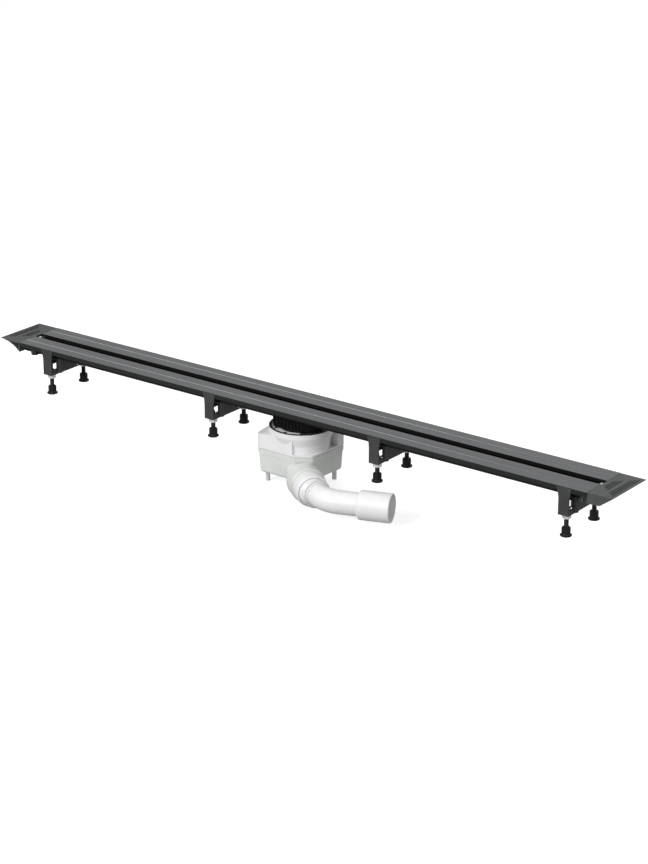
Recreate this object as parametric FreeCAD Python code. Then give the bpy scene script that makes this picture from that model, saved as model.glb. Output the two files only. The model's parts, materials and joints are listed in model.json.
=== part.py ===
"""Linear shower channel with adjustable feet, a trap and a ball-jointed outlet.

The frame: X runs along the channel, Y across it, Z up. The origin lies on the axis of the trap's inlet,
at the height of the feet of the trap. All sizes are in millimetres.
"""
import FreeCAD
import Part
import math
import os
from FreeCAD import Base

# channel profile
top_z = 138.0                 # upper face of the flanges above the trap's feet
profile_length = 1200.0
profile_mid_x = -6.5          # middle of the profile, seen from the inlet's axis
flange_half = 51.5            # half of the width over both flanges
flange_t = 3.2
lip_depth = 8.4
lip_t = 2.4
slot_half = 9.25
slot_lip_depth = 6.0
slot_lip_t = 1.6
gutter_half = 36.5
gutter_depth = 20.2
gutter_t = 2.2
gutter_corner_r = 3.0
line_groove_y = 31.5          # the line along each flange
line_groove_w = 1.3
line_groove_d = 0.4

# end caps
cap_length = 45.5
cap_inset = 0.8               # the cap is this much narrower than the profile on each side
cap_edge_t = 1.2              # thickness of the outer edge
cap_skirt_depth = 18.7
cap_skirt_reach = 23.5
cap_wall = 2.6
cap_plug_reach = 11.0
cap_joint_w = 0.8             # shadow line between the cap and the profile
cap_joint_d = 1.0
cove_reach = 20.0             # the cove passes through this point: distance from the profile's end
cove_depth = 6.7              # and depth
pocket_pitch = 5.0
pocket_w = 2.6
pocket_d = 0.9
pocket_margin = 2.4
inner_row_start = 8.0         # the two rows of pockets, measured from the profile's end
inner_row_end = 21.5
outer_row_start = 28.0
outer_row_end = 41.0
cap_screw_r = 1.9
cap_screw_head_r = 2.8
cap_screw_back = 4.0          # the screw's axis lies this far inside the profile's end
cap_lug_drop = 4.0            # the screw's head rests at this depth

# clips under the gutter's ends
left_clip_back = 22.5         # middle of each clip, inside the profile's end
right_clip_back = 13.5
clip_length = 11.0
clip_t = 3.0
clip_rise = 10.0

# foot brackets
left_bracket_back = 69.5      # outer brackets, measured from the profile's ends
right_bracket_back = 40.0
left_inner_bracket = 160.0    # inner brackets, measured from the inlet's axis
right_inner_bracket = 189.0
outer_foot_drop = 85.5        # soles of the outer pads below the flange's upper face
inner_foot_drop = 82.1
foot_y = 42.0
leg_bottom_drop = 48.2
leg_half = 9.5
leg_flare = 4.4               # the leg is this much wider on each side at the flange
leg_flare_drop = 22.0
leg_top_drop = 1.3
leg_plate_t = 2.8
leg_proud = 1.6               # the leg's front stands this far out of the flange's edge
base_plate_t = 3.0
web_t = 2.4
hook_t = 1.8
hook_rise = 5.0
pocket_rise = 8.2             # height of the pocket round the captive nut
clip_post_r = 5.5
clip_post_y = 30.5
web_window_y0 = 15.5          # opening in one half of each web
web_window_y1 = 30.5
web_window_top_drop = 34.5
web_window_sill = 2.2
fit_gap = 0.1                 # slack where a clip holds the profile

# feet
stud_r = 3.9
stud_play = 0.08              # radial clearance of the stud in its nuts
stud_length = 43.0
nut_across_flats = 13.0
captive_nut_h = 5.0
lock_nut_h = 7.3
lock_nut_flange_r = 8.5
lock_nut_flange_t = 1.8
pad_r = 9.65
pad_sole_t = 2.0
pad_neck_r = 7.3
pad_flare_h = 7.0
pad_h = 14.9
pad_sole_inner = 4.0
pad_grip = 0.05               # slack between pad and stud

# inlet
dish_wall = 2.6
dish_skirt_bottom_drop = 36.7
dish_rib_h = 1.2
dish_rib_t = 1.8
dish_rib_pitch = 7.5          # along the flat sides
dish_rib_step = 12.0          # round the ends, in degrees
tube_gap = 1.4                # between the inlet's tube and the neck
tube_groove_rise = 4.0
dish_tube_bottom_drop = 54.0
seal_gap = 0.05

# trap
trap_half_x = 55.5            # the pot's plan at the seam
trap_half_y = 50.0
trap_mid_x = -1.5             # its middle, seen from the inlet's axis
corner_r = 6.5
corner_cut_x = 30.0           # the corner over the outlet is cut off by this much along X
corner_cut_y = 16.0           # and along Y
side_lean = 5.0               # the wall beside the outlet runs in by this much towards the cut
cover_bulge = 1.3             # the cover's walls stand out this far above the seam
seam_drop = 76.5
seam_flange = 0.9             # the rims stand out this far
cover_rim_t = 1.6
pot_rim_t = 7.9
trap_wall = 2.5
neck_foot_drop = 60.0
neck_foot_r = 50.3
neck_rim_drop = 46.0
neck_rim_r = 55.0
neck_top_drop = 37.0
neck_rim_t = 2.8
neck_ledge_drop = 39.0
neck_ledge_w = 14.6           # width of the ledge that carries the screws
neck_step_w = 5.6
neck_step_drop = 57.0
neck_seal_t = 1.0
neck_screw_count = 10
neck_screw_r = 1.9
roof_fall = 0.27              # the roof falls by this much per millimetre outwards
ledge_drop = 72.5             # over the outlet the cover is cut down to this height
ledge_start_x = 19.0
ledge_start_y = 30.0
pot_bottom_drop = 121.0
pot_draft = 2.2               # the pot's walls lean in by this much on their height
pot_round_r = 5.0
cover_seal_t = 0.6
cover_seal_inset = 0.8        # the gasket stays behind the rims' edges
post_x = 44.0
post_y = 36.0
post_r = 3.9
post_root = 2.0                # the posts reach this far into the floor
outlet_post_inward = 17.0     # the post under the outlet stands this much further in

neck_bore_r = neck_rim_r - neck_rim_t - neck_ledge_w
neck_step_r = neck_bore_r - neck_step_w
dish_gap = 4.7                # between the inlet and the neck's rim
dish_r = neck_rim_r - neck_rim_t - dish_gap
dish_tube_r = neck_bore_r - tube_gap
inlet_hole_r = dish_tube_r - 2.0 * dish_wall

# water seal
dip_tube_r = 26.0
dip_tube_t = 2.0
dip_tube_bottom_drop = 112.0
dip_flange_gap = 0.4
dip_flange_t = 2.4
cup_r = 38.0
cup_foot_in = 6.0
cup_t = 2.0
cup_rim_drop = 74.0

# outlet
outlet_heading = -37.0
outlet_aside = -17.0          # the socket's axis passes the inlet's axis at this distance
outlet_drop = 108.0
socket_start = 40.0           # distances along the socket, from beside the inlet's axis
socket_end = 104.0
socket_r = 30.6
socket_root_r = 21.0          # the socket widens from this radius
socket_root_end = 60.0
socket_full_start = 78.0
step_r = 28.0
step_end = 108.0
socket_inner_r = 23.6
socket_bore_r = 18.0
seat_start = 100.0
seat_end = 109.0
seat_inner_r = 19.0
thread_r = 26.2
thread_end = 113.0
ball_distance = 122.0
ball_r = 26.0
ball_play = 0.3
ball_rear = 15.0
ball_neck_r = 17.0
nut_wall = 2.0
nut_back = 108.4
nut_opening_angle = 67.0
swivel_heading = -25.0        # the ball piece's axis at rest
hub_play = 0.4                # between the hub's hollow back and the nut
hub_r = 23.6
hub_end = 24.8                # distance from the ball's centre
hub_end_r = 20.8
hub_lip_end = 21.0
hub_lip_r = 24.6
hub_lip_t = 2.2
pipe_r = 20.0
pipe_t = 2.0
pipe_play = 0.08
nose_r = 15.1                 # the pipe's end inside the ball
nose_t = 1.8
nose_start = 13.0
nose_shoulder_t = 2.4
ring_start = 16.5             # the ring seal round the nose
ring_w = 2.2
ring_h = 1.1
elbow_angle = 45.0
elbow_r = 55.0
elbow_vertex = 53.2           # from the ball's centre to the bend's vertex
spigot_r = 25.0
spigot_t = 1.9
spigot_start = 56.6
spigot_grip = 15.0            # length of the sleeve that holds the pipe
spigot_end = 111.6
pipe_setback = 0.4            # the pipe ends this far inside the sleeve
pipe_end = spigot_start + spigot_grip - pipe_setback

up = Base.Vector(0, 0, 1)
along = Base.Vector(1, 0, 0)
across = Base.Vector(0, 1, 0)
zero = Base.Vector(0, 0, 0)


def drop(depth):
    """Height of a point that lies this far under the flange's upper face."""
    return top_z - depth


def box(x0, x1, y0, y1, z0, z1):
    return Part.makeBox(x1 - x0, y1 - y0, z1 - z0, Base.Vector(x0, y0, z0))


def rod(r, z0, z1, x=0.0, y=0.0):
    return Part.makeCylinder(r, z1 - z0, Base.Vector(x, y, z0))


def prism(points, direction):
    """A solid swept from a closed flat outline."""
    return Part.Face(Part.makePolygon(points + points[:1])).extrude(direction)


def turned(outline):
    """A solid of revolution about Z from (radius, height) pairs."""
    points = [Base.Vector(r, 0, z) for r, z in outline]
    return Part.Face(Part.makePolygon(points + points[:1])).revolve(zero, up, 360)


def fuse(shapes):
    return shapes[0].fuse(shapes[1:]).removeSplitter()


def lengthwise_edges(shape, direction, test):
    """The straight edges along a direction whose middle passes a test."""
    found = []
    for edge in shape.Edges:
        if not isinstance(edge.Curve, Part.Line):
            continue
        if abs(edge.tangentAt(edge.FirstParameter).dot(direction)) > 0.999 and test(edge.CenterOfMass):
            found.append(edge)
    return found


# ---------------------------------------------------------------- channel profile

def profile_outline():
    """Half of the section, from the slot over the flange, the lip and the gutter to the middle."""
    outer = [
        (slot_half, top_z),
        (flange_half, top_z),
        (flange_half, drop(lip_depth)),
        (flange_half - lip_t, drop(lip_depth)),
        (flange_half - lip_t, drop(flange_t)),
        (gutter_half, drop(flange_t)),
        (gutter_half, drop(gutter_depth)),
    ]
    inner = [
        (gutter_half - gutter_t, drop(gutter_depth - gutter_t)),
        (gutter_half - gutter_t, drop(flange_t)),
        (slot_half + slot_lip_t, drop(flange_t)),
        (slot_half + slot_lip_t, drop(slot_lip_depth)),
        (slot_half, drop(slot_lip_depth)),
    ]
    return outer, inner


def profile_section(x):
    outer, inner = profile_outline()
    right = [Base.Vector(x, y, z) for y, z in outer]
    left = [Base.Vector(x, -y, z) for y, z in reversed(outer)]
    left_inner = [Base.Vector(x, -y, z) for y, z in reversed(inner)]
    right_inner = [Base.Vector(x, y, z) for y, z in inner]
    return right + left + left_inner + right_inner


def channel_profile():
    x0 = profile_mid_x - profile_length / 2.0
    x1 = profile_mid_x + profile_length / 2.0
    body = prism(profile_section(x0), Base.Vector(x1 - x0, 0, 0))
    corners = lengthwise_edges(
        body, along, lambda c: abs(abs(c.y) - gutter_half) < 0.01 and abs(c.z - drop(gutter_depth)) < 0.01)
    body = body.makeFillet(gutter_corner_r, corners)
    grooves = [groove(x0, x1, side * line_groove_y, line_groove_w) for side in (-1, 1)]
    hole = rod(inlet_hole_r, drop(gutter_depth) - 1.0, drop(gutter_depth - gutter_t) + 1.0)
    return body.cut(grooves + [hole])


def groove(x0, x1, y, width):
    return box(x0 - 1.0, x1 + 1.0, y - width / 2.0, y + width / 2.0, top_z - line_groove_d, top_z + 1.0)


# ---------------------------------------------------------------- end caps

def cove_cylinder(extra, y0, y1):
    """Cylinder along Y through the tip, the middle and the foot of the cove, or outside it by a distance."""
    tip = Base.Vector(cap_length, y0, drop(cap_edge_t))
    middle = Base.Vector(cove_reach, y0, drop(cove_depth))
    foot = Base.Vector(cap_wall / 2.0, y0, drop(cap_skirt_depth))
    curve = Part.Arc(tip, middle, foot).toShape().Curve
    return Part.makeCylinder(curve.Radius + extra, y1 - y0, curve.Center, across)


def cap_shell():
    """Plate, curved end wall, wall against the gutter and the skirt on the front side."""
    half = flange_half - cap_inset
    low = drop(cap_skirt_depth)
    outside = box(0, cap_length, -half, half, low, top_z).cut(cove_cylinder(0.0, -half - 1, half + 1))
    cavity = box(cap_wall, cap_length, -half + cap_wall, half + 1, low, drop(flange_t))
    cavity = cavity.cut(cove_cylinder(cap_wall * 0.9, -half - 1, half + 2))
    skirt_outline = [
        Base.Vector(0, -half, drop(flange_t / 2.0)),
        Base.Vector(cap_length, -half, drop(cap_edge_t)),
        Base.Vector(cap_skirt_reach, -half, drop(cap_skirt_depth - 1.4)),
        Base.Vector(0, -half, low),
    ]
    skirt = prism(skirt_outline, Base.Vector(0, cap_wall, 0))
    return outside.cut(cavity).fuse(skirt)


def cap_plug():
    """The rim that stands inside the gutter's end, with the lug for the screw."""
    half = gutter_half - gutter_t - fit_gap
    low = drop(gutter_depth - gutter_t) + fit_gap
    high = drop(slot_lip_depth) - fit_gap
    block = box(-cap_plug_reach, 1.0, -half, half, low, high)
    hollow = box(-cap_plug_reach - 1.0, 0.0, -half + cap_wall, half - cap_wall, low + cap_wall, high + 1.0)
    lug = box(-cap_plug_reach + 2.0, 1.0, -slot_half + 0.3, slot_half - 0.3, low + 1.0, drop(cap_lug_drop))
    lug = lug.cut(rod(cap_screw_r + stud_play, low + cap_wall, top_z, -cap_screw_back, 0.0))
    return block.cut(hollow).fuse(lug)


def mitre_y(x):
    """Half width of the pocketed field at a distance from the profile's end."""
    half = flange_half - cap_inset
    return slot_half + (half - slot_half) * x / cap_length


def cap_pockets():
    """Two rows of narrow pockets between the mitre lines."""
    pockets = []
    half = flange_half - cap_inset
    for start, end in ((inner_row_start, inner_row_end), (outer_row_start, outer_row_end)):
        limit = mitre_y(end) - pocket_margin - pocket_w
        count = int(limit / pocket_pitch)
        for i in range(-count, count + 1):
            y = i * pocket_pitch
            meets = (abs(y) + pocket_margin + pocket_w / 2.0 - slot_half) / (half - slot_half) * cap_length
            x0 = max(start, meets)
            if end - x0 > pocket_w:
                y0 = y - pocket_w / 2.0
                pockets.append(box(x0, end, y0, y0 + pocket_w, top_z - pocket_d, top_z + 1))
    return pockets


def end_cap():
    """The cap at its own frame: X from the profile's end outwards, the skirt on -Y."""
    joint = box(-0.5, cap_joint_w, -flange_half, flange_half, top_z - cap_joint_d, top_z + 1.0)
    return cap_shell().fuse(cap_plug()).removeSplitter().cut(cap_pockets() + [joint])


def cap_screw():
    """Screw with a domed head, its axis on the lug."""
    seat = drop(cap_lug_drop)
    low = drop(gutter_depth - gutter_t) + cap_wall + 1.5
    crown = 1.4
    radius = (cap_screw_head_r ** 2 + crown ** 2) / (2.0 * crown)
    head = rod(cap_screw_head_r, seat, seat + 1.0)
    dome = Part.makeSphere(radius, Base.Vector(0, 0, seat + 1.0 + crown - radius))
    dome = dome.common(rod(cap_screw_head_r, seat + 0.9, seat + 4.0))
    socket = hexagon(2.4, seat + 1.2, seat + 6.0)
    screw = fuse([head, dome, rod(cap_screw_r, low, seat)]).cut(socket)
    screw.translate(Base.Vector(-cap_screw_back, 0, 0))
    return screw


def end_clip(side):
    """Strap round the gutter near one end, with a sloping rib on each upstand."""
    back = left_clip_back if side < 0 else right_clip_back
    middle = profile_mid_x + side * (profile_length / 2.0 - back)
    x0 = middle - clip_length / 2.0
    x1 = middle + clip_length / 2.0
    inner = gutter_half + fit_gap
    outer = inner + clip_t - 1.0
    high = drop(gutter_depth)
    parts = [box(x0, x1, -outer, outer, high - clip_t, high)]
    for y in (-1, 1):
        y0 = min(y * inner, y * outer)
        y1 = max(y * inner, y * outer)
        parts.append(box(x0, x1, y0, y1, high - clip_t, high + clip_rise))
        rib = [
            Base.Vector(middle - 1.2, y * (outer - 0.2), high + clip_rise - 1.0),
            Base.Vector(middle - 1.2, y * (outer + 3.0), high - clip_t + 1.0),
            Base.Vector(middle - 1.2, y * (outer + 2.0), high - clip_t),
            Base.Vector(middle - 1.2, y * (outer - 0.2), high - clip_t),
        ]
        parts.append(prism(rib, Base.Vector(2.4, 0, 0)))
    return fuse(parts)


def place_at_end(shape, side):
    """Move a piece from the cap's own frame to the profile's left (-1) or right (1) end."""
    copy = shape.copy()
    if side < 0:
        copy.rotate(zero, up, 180)
    copy.translate(Base.Vector(profile_mid_x + side * profile_length / 2.0, 0, 0))
    return copy


# ---------------------------------------------------------------- foot brackets

def leg_plate():
    """Front plate of a leg, flared by two arcs towards the flange."""
    y0 = -flange_half - leg_proud
    leg_top_half = leg_half + leg_flare
    low = drop(leg_bottom_drop)
    flare = drop(leg_flare_drop)
    high = drop(leg_top_drop)
    bend = Base.Vector(leg_half + leg_flare * 0.28, y0, flare + (high - flare) * 0.5)
    p_low = Base.Vector(leg_half, y0, low)
    p_flare = Base.Vector(leg_half, y0, flare)
    p_top = Base.Vector(leg_top_half, y0, high)

    def mirrored(p):
        return Base.Vector(-p.x, p.y, p.z)

    edges = [
        Part.LineSegment(p_low, p_flare).toShape(),
        Part.Arc(p_flare, bend, p_top).toShape(),
        Part.LineSegment(p_top, mirrored(p_top)).toShape(),
        Part.Arc(mirrored(p_top), mirrored(bend), mirrored(p_flare)).toShape(),
        Part.LineSegment(mirrored(p_flare), mirrored(p_low)).toShape(),
        Part.LineSegment(mirrored(p_low), p_low).toShape(),
    ]
    plate = Part.Face(Part.Wire(edges)).extrude(Base.Vector(0, leg_plate_t, 0))
    lip = box(-leg_top_half - 1, leg_top_half + 1, -flange_half - fit_gap, -flange_half + lip_t + fit_gap,
              drop(lip_depth) - fit_gap, top_z + 1)
    return plate.cut(lip)


def leg_hook():
    """Rib that grips the flange's lip from inside, with the bridge to the front plate."""
    inner = -flange_half + lip_t + fit_gap
    bridge_high = drop(lip_depth) - fit_gap
    front = -flange_half - leg_proud + leg_plate_t
    rib = box(-leg_half, leg_half, inner, inner + hook_t, bridge_high - hook_t, bridge_high + hook_rise)
    bridge = box(-leg_half, leg_half, front - 0.2, inner + 0.2, bridge_high - hook_t, bridge_high)
    return [rib, bridge]


def leg_parts():
    """All of the leg on the -Y side."""
    low = drop(leg_bottom_drop)
    front = -flange_half - leg_proud + leg_plate_t
    base = box(-leg_half, leg_half, front - 0.2, -gutter_half + 2.0, low, low + base_plate_t)
    cheeks = []
    for x0 in (-leg_half, leg_half - web_t):
        cheeks.append(box(x0, x0 + web_t, front - 0.2, -gutter_half + 1.0, low, low + pocket_rise))
    return [leg_plate(), base] + leg_hook() + cheeks


def beam_parts():
    """The beam across the underside of the gutter: two webs, a saddle plate and the clip posts."""
    low = drop(leg_bottom_drop)
    high = drop(gutter_depth)
    half = gutter_half
    parts = [box(-leg_half, leg_half, -half, half, high - web_t, high)]
    for side in (-1, 1):
        x0 = leg_half - web_t if side > 0 else -leg_half
        parts.append(box(x0, x0 + web_t, -half, half, low, high))
    for side in (-1, 1):
        parts.append(rod(clip_post_r, low + 1.2, high, side * (leg_half - web_t / 2.0), -side * clip_post_y))
    parts.append(box(-leg_half, leg_half, -web_t / 2, web_t / 2, low, high))
    return parts


def web_windows():
    """One opening in each web, on opposite sides of the bracket's middle."""
    z0 = drop(leg_bottom_drop) + web_window_sill
    z1 = drop(web_window_top_drop)
    left = box(-leg_half - 1.0, -leg_half + web_t + 1.0, -web_window_y1, -web_window_y0, z0, z1)
    right = box(leg_half - web_t - 1.0, leg_half + 1.0, web_window_y0, web_window_y1, z0, z1)
    return [left, right]


def mirrored_y(shape):
    return shape.mirror(zero, across)


def foot_bracket():
    leg = leg_parts()
    body = fuse(leg + [mirrored_y(s) for s in leg] + beam_parts())
    low = drop(leg_bottom_drop)
    holes = [rod(stud_r + stud_play, low - 1, low + 6, 0, sy * foot_y) for sy in (-1, 1)]
    return body.cut(holes + web_windows())


def bracket_places():
    """Number, X of the bracket and drop of its soles, from left to right."""
    left = profile_mid_x - profile_length / 2.0
    right = profile_mid_x + profile_length / 2.0
    return [
        (1, left + left_bracket_back, outer_foot_drop), (2, -left_inner_bracket, inner_foot_drop),
        (3, right_inner_bracket, inner_foot_drop), (4, right - right_bracket_back, outer_foot_drop),
    ]


# ---------------------------------------------------------------- feet

def hexagon(across_flats, z0, z1):
    radius = across_flats / math.sqrt(3.0)
    angles = [math.radians(30 + 60 * i) for i in range(6)]
    points = [Base.Vector(radius * math.cos(a), radius * math.sin(a), z0) for a in angles]
    return prism(points, Base.Vector(0, 0, z1 - z0))


def bevelled_hexagon(across_flats, z0, z1):
    """A hexagon whose corners are turned off at both ends."""
    corner = across_flats / math.sqrt(3.0)
    bevel = corner - across_flats / 2.0
    turning = turned([
        (0, z0), (across_flats / 2.0, z0), (corner, z0 + bevel * 0.6),
        (corner, z1 - bevel * 0.6), (across_flats / 2.0, z1), (0, z1),
    ])
    return hexagon(across_flats, z0, z1).common(turning)


def captive_nut():
    seat = drop(leg_bottom_drop) + base_plate_t
    body = bevelled_hexagon(nut_across_flats, seat, seat + captive_nut_h)
    return body.cut(rod(stud_r + stud_play, seat - 1, seat + captive_nut_h + 1))


def lock_nut():
    seat = drop(leg_bottom_drop)
    flange = turned([
        (0, seat - lock_nut_flange_t), (lock_nut_flange_r - 0.6, seat - lock_nut_flange_t),
        (lock_nut_flange_r, seat - lock_nut_flange_t / 2.0), (lock_nut_flange_r, seat), (0, seat),
    ])
    body = bevelled_hexagon(nut_across_flats, seat - lock_nut_h, seat).fuse(flange)
    return body.removeSplitter().cut(rod(stud_r + stud_play, seat - lock_nut_h - 1, seat + 1))


def pad(sole):
    """Bell-shaped pad on its sole's height, with a blind bore for the stud."""
    r_mid = (pad_r + pad_neck_r) / 2.0
    bore = stud_r + pad_grip
    p = [Base.Vector(r, 0, z) for r, z in (
        (0, sole), (pad_r - 0.6, sole), (pad_r, sole + 0.6), (pad_r, sole + pad_sole_t),
        (pad_neck_r, sole + pad_flare_h), (pad_neck_r, sole + pad_h - 1.0), (pad_neck_r - 1.0, sole + pad_h),
        (bore, sole + pad_h), (bore, sole + pad_sole_inner), (0, sole + pad_sole_inner))]
    flare = Base.Vector(r_mid - 0.9, 0, sole + pad_flare_h * 0.55)
    edges = [Part.LineSegment(p[i], p[i + 1]).toShape() for i in range(3)]
    edges.append(Part.Arc(p[3], flare, p[4]).toShape())
    edges += [Part.LineSegment(p[i], p[i + 1]).toShape() for i in range(4, 9)]
    edges.append(Part.LineSegment(p[9], p[0]).toShape())
    return Part.Face(Part.Wire(edges)).revolve(zero, up, 360)


def stud(sole):
    """Threaded rod from the pad's bore to its slotted upper end."""
    low = sole + pad_sole_inner
    top = low + stud_length
    body = rod(stud_r, low, top - 0.8).fuse(
        Part.makeCone(stud_r, stud_r - 0.8, 0.8, Base.Vector(0, 0, top - 0.8)))
    slot = box(-stud_r - 1, stud_r + 1, -0.6, 0.6, top - 2.0, top + 1)
    return body.removeSplitter().cut(slot)


def moved(shape, x, y, z=0.0):
    copy = shape.copy()
    copy.translate(Base.Vector(x, y, z))
    return copy


# ---------------------------------------------------------------- inlet

def flatted_disc(r, half, z0, z1):
    """Round disc with a flat side along the channel on each side."""
    return rod(r, z0, z1).common(box(-r, r, -half, half, z0, z1))


def dish_ribs(skirt, top):
    """Upright ribs along the flat sides and round the ends."""
    ribs = []
    half_flat = math.sqrt(dish_r ** 2 - gutter_half ** 2)
    count = int(half_flat / dish_rib_pitch)
    t = dish_rib_t / 2.0
    for i in range(-count, count + 1):
        x = i * dish_rib_pitch
        for side in (-1, 1):
            y = side * (gutter_half + dish_rib_h / 2.0)
            ribs.append(box(x - t, x + t, y - dish_rib_h, y + dish_rib_h, skirt + 2.0, top - 1.0))
    count = int(math.degrees(math.asin(gutter_half / dish_r)) / dish_rib_step)
    for i in range(-count, count + 1):
        for side in (0, 180):
            rib = box(dish_r - 0.6, dish_r + dish_rib_h, -t, t, skirt + 2.0, top - 1.0)
            rib.rotate(zero, up, side + i * dish_rib_step)
            ribs.append(rib)
    return ribs


def inlet_dish():
    """Black inlet between the gutter and the trap: a flat-sided ribbed skirt round a tube."""
    top = drop(gutter_depth)
    skirt = drop(dish_skirt_bottom_drop)
    end = drop(dish_tube_bottom_drop)
    tube_r = dish_tube_r
    shell = flatted_disc(dish_r, gutter_half, skirt, top)
    room = flatted_disc(dish_r - dish_wall, gutter_half - dish_wall, skirt - 1.0, top - dish_wall)
    tube = rod(tube_r, end, top - 1.0)
    bore = turned([
        (0, end - 1.0), (tube_r - dish_wall, end - 1.0), (tube_r - dish_wall, top - 2.0 * dish_wall),
        (inlet_hole_r, top - dish_wall), (inlet_hole_r, top + 1.0), (0, top + 1.0),
    ])
    return fuse([shell.cut(room), tube] + dish_ribs(skirt, top)).cut([bore, inlet_seal_groove()])


def inlet_seal_groove():
    z = drop(dish_tube_bottom_drop) + tube_groove_rise
    outer = dish_tube_r
    return rod(outer + 1.0, z, z + 2.4).cut(rod(outer - 0.9, z - 1, z + 3.4))


def inlet_seal():
    """Square-section ring in the groove of the inlet's tube."""
    z = drop(dish_tube_bottom_drop) + tube_groove_rise
    outer = neck_bore_r - seal_gap
    inner = dish_tube_r - 0.9 + seal_gap
    return rod(outer, z + 0.1, z + 2.3).cut(rod(inner, z - 1, z + 3.4))


# ---------------------------------------------------------------- trap

def trap_outline(grow, z, rounder=0.0):
    """Plan of the trap as a face: a rectangle with one corner cut off, over the outlet, all rounded."""
    x = trap_half_x + grow
    y = trap_half_y + grow
    cut_x = corner_cut_x + 0.4 * grow
    cut_y = corner_cut_y + 0.8 * grow
    corners = [(x, y), (-x, y), (-x, -y), (x - cut_x, -y), (x - side_lean, -y + cut_y)]
    points = [Base.Vector(trap_mid_x + px, py, z) for px, py in corners]
    thin = Part.Face(Part.makePolygon(points + points[:1])).extrude(Base.Vector(0, 0, 1.0))
    thin = thin.makeFillet(corner_r + rounder, lengthwise_edges(thin, up, lambda c: True))
    return [f for f in thin.Faces if f.BoundBox.ZMax < z + 0.5][0].OuterWire


def trap_block(grow, z0, z1):
    """Upright block on that plan, whose corners keep their middles as it grows."""
    return Part.Face(trap_outline(grow, z0, grow)).extrude(Base.Vector(0, 0, z1 - z0))


def above_roof(lower):
    """Everything above the roof, a shallow cone round the neck."""
    high = drop(neck_rim_drop + lower)
    far = 2.0 * trap_half_x
    return turned([
        (0, high), (neck_rim_r, high), (neck_rim_r + far, high - roof_fall * far), (neck_rim_r + far, top_z),
        (0, top_z),
    ])


def outlet_corner_space(wall):
    """The room over the outlet's ledge, outside the neck, or grown by a wall on every side."""
    far = 2.0 * trap_half_x
    room = box(ledge_start_x - wall, far, -far, ledge_start_y + wall, drop(ledge_drop + wall), top_z)
    return room.cut(rod(neck_foot_r - wall, drop(seam_drop), top_z + 1.0))


def neck():
    """Turned body of the neck: a cylinder, a cone and the rim."""
    return turned([
        (0, drop(neck_foot_drop)), (neck_foot_r, drop(neck_foot_drop)),
        (neck_rim_r, drop(neck_rim_drop)), (neck_rim_r, drop(neck_top_drop)),
        (neck_rim_r - neck_rim_t, drop(neck_top_drop)), (neck_rim_r - neck_rim_t, drop(neck_ledge_drop)),
        (0, drop(neck_ledge_drop)),
    ])


def trap_cover():
    seam = drop(seam_drop)
    rim = trap_block(seam_flange, seam, seam + cover_rim_t)
    walls = trap_block(cover_bulge, seam + cover_rim_t, drop(neck_rim_drop))
    walls = walls.cut([above_roof(0.0), outlet_corner_space(0.0)])
    hollow = trap_block(cover_bulge - trap_wall, seam - 1.0, drop(neck_rim_drop))
    throat = rod(neck_bore_r + trap_wall, drop(neck_foot_drop), top_z)
    hollow = hollow.cut([above_roof(trap_wall), outlet_corner_space(trap_wall), throat])
    under_ledge = rod(neck_foot_r - trap_wall, drop(neck_foot_drop), drop(neck_ledge_drop + trap_wall)).cut(throat)
    bore = rod(neck_bore_r, drop(neck_step_drop), top_z)
    step = rod(neck_step_r, seam, top_z)
    return fuse([rim, walls, neck()]).cut([hollow, under_ledge, bore, step]).removeSplitter()


def pot_block(grow, z0, z1):
    """The pot's body, which leans in towards its rounded floor."""
    height = drop(seam_drop) - drop(pot_bottom_drop)
    lean = pot_draft * (drop(seam_drop) - z0) / height
    return Part.makeLoft([trap_outline(grow - lean, z0), trap_outline(grow, z1)], True, True)


def floor_edges(shape, z):
    return [e for e in shape.Edges if e.BoundBox.ZMax < z + 0.1]


def trap_pot():
    seam = drop(seam_drop)
    floor = drop(pot_bottom_drop)
    outside = pot_block(0.0, floor, seam)
    outside = outside.makeFillet(pot_round_r, floor_edges(outside, floor))
    rim = trap_block(seam_flange, seam - cover_seal_t - pot_rim_t, seam - cover_seal_t)
    inside = pot_block(-trap_wall, floor + trap_wall, seam + 1.0)
    inside = inside.makeFillet(pot_round_r - trap_wall, floor_edges(inside, floor + trap_wall))
    above = trap_block(seam_flange, seam - cover_seal_t, top_z)
    posts = [rod(post_r, 0.0, floor + post_root, x, y) for x, y in post_places()]
    return fuse([outside, rim, outlet_collar()] + posts).cut([inside, above, outlet_bore()]).removeSplitter()


def post_places():
    """Four posts near the corners; the one under the outlet stands further in."""
    near = (trap_mid_x + post_x - outlet_post_inward, -post_y)
    return [(trap_mid_x - post_x, -post_y), (trap_mid_x - post_x, post_y), (trap_mid_x + post_x, post_y), near]


def to_outlet(shape):
    """Move a shape turned about Z to the outlet's axis: its height becomes the distance outwards."""
    copy = shape.copy()
    copy.rotate(zero, across, 90)
    copy.translate(Base.Vector(0, outlet_aside, 0))
    copy.rotate(zero, up, outlet_heading)
    copy.translate(Base.Vector(0, 0, drop(outlet_drop)))
    return copy


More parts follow.
